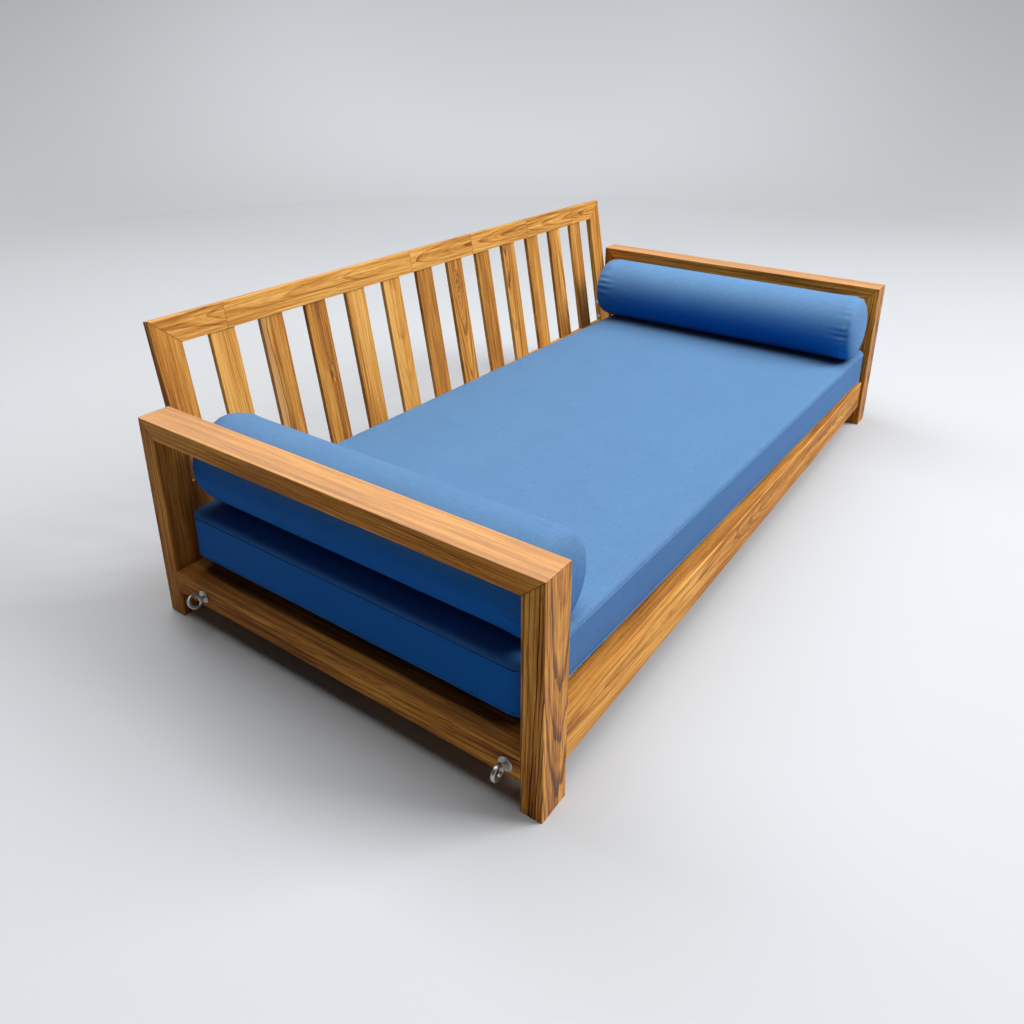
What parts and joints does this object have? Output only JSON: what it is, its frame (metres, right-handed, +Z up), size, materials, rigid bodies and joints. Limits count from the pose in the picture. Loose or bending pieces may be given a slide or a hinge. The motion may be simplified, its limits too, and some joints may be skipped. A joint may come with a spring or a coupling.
{
  "type": "daybed",
  "caption": "Low slatted hardwood daybed with open end frames, a leaning slatted back, eye bolts for hanging, a boxed mattress and round bolsters.",
  "frame": {"origin": "on the floor, below the middle of the object's overall box", "axes": "+X along the length, to the right seen from the front; +Y to the back; +Z up"},
  "size_m": [2.142, 1.0915, 0.6677],
  "materials": {
    "hardwood": "oiled satin",
    "dowel_wood": "bare, sealed in the joints",
    "polished_steel": "polished stainless",
    "screw_steel": "plain stainless",
    "blue_fabric": "matt woven"
  },
  "bodies": {
    "frame": {"left_front_post": "hardwood", "left_rear_post": "hardwood", "left_arm_rail": "hardwood", "left_low_rail": "hardwood", "left_deck_rail": "hardwood", "right_front_post": "hardwood", "right_rear_post": "hardwood", "right_arm_rail": "hardwood", "right_low_rail": "hardwood", "right_deck_rail": "hardwood", "front_rail": "hardwood", "rear_rail": "hardwood", "front_cleat": "hardwood", "rear_cleat": "hardwood", "centre_beam": "hardwood", "deck_slat_01": "hardwood", "deck_slat_02": "hardwood", "deck_slat_03": "hardwood", "deck_slat_04": "hardwood", "deck_slat_05": "hardwood", "deck_slat_06": "hardwood", "deck_slat_07": "hardwood", "deck_slat_08": "hardwood", "deck_slat_09": "hardwood", "deck_slat_10": "hardwood", "deck_slat_11": "hardwood", "deck_slat_12": "hardwood", "back_top_rail": "hardwood", "back_bottom_rail": "hardwood", "back_left_stile": "hardwood", "back_right_stile": "hardwood", "back_spacers": "hardwood", "back_slat_01": "hardwood", "back_slat_02": "hardwood", "back_slat_03": "hardwood", "back_slat_04": "hardwood", "back_slat_05": "hardwood", "back_slat_06": "hardwood", "back_slat_07": "hardwood", "back_slat_08": "hardwood", "back_slat_09": "hardwood", "back_slat_10": "hardwood", "back_slat_11": "hardwood", "back_slat_12": "hardwood", "left_front_eye_bolt": "polished_steel", "left_rear_eye_bolt": "polished_steel", "right_front_eye_bolt": "polished_steel", "right_rear_eye_bolt": "polished_steel", "eye_washers": "polished_steel", "eye_nuts": "polished_steel", "back_bolts": "screw_steel", "slat_screws": "screw_steel", "cleat_screws": "screw_steel", "mitre_dowels": "dowel_wood", "low_rail_dowels": "dowel_wood", "rail_dowels": "dowel_wood"},
    "mattress": {"mattress": "blue_fabric"},
    "left_bolster": {"left_bolster": "blue_fabric"},
    "right_bolster": {"right_bolster": "blue_fabric"}
  },
  "joints": [
    {"name": "mattress_lift", "type": "slide", "parent": "frame", "child": "mattress", "axis": [0, 0, 1], "range_m": [0, 0.4]},
    {"name": "left_bolster_lift", "type": "slide", "parent": "mattress", "child": "left_bolster", "axis": [0, 0, 1], "range_m": [0, 0.3]},
    {"name": "right_bolster_lift", "type": "slide", "parent": "mattress", "child": "right_bolster", "axis": [0, 0, 1], "range_m": [0, 0.3]}
  ]
}
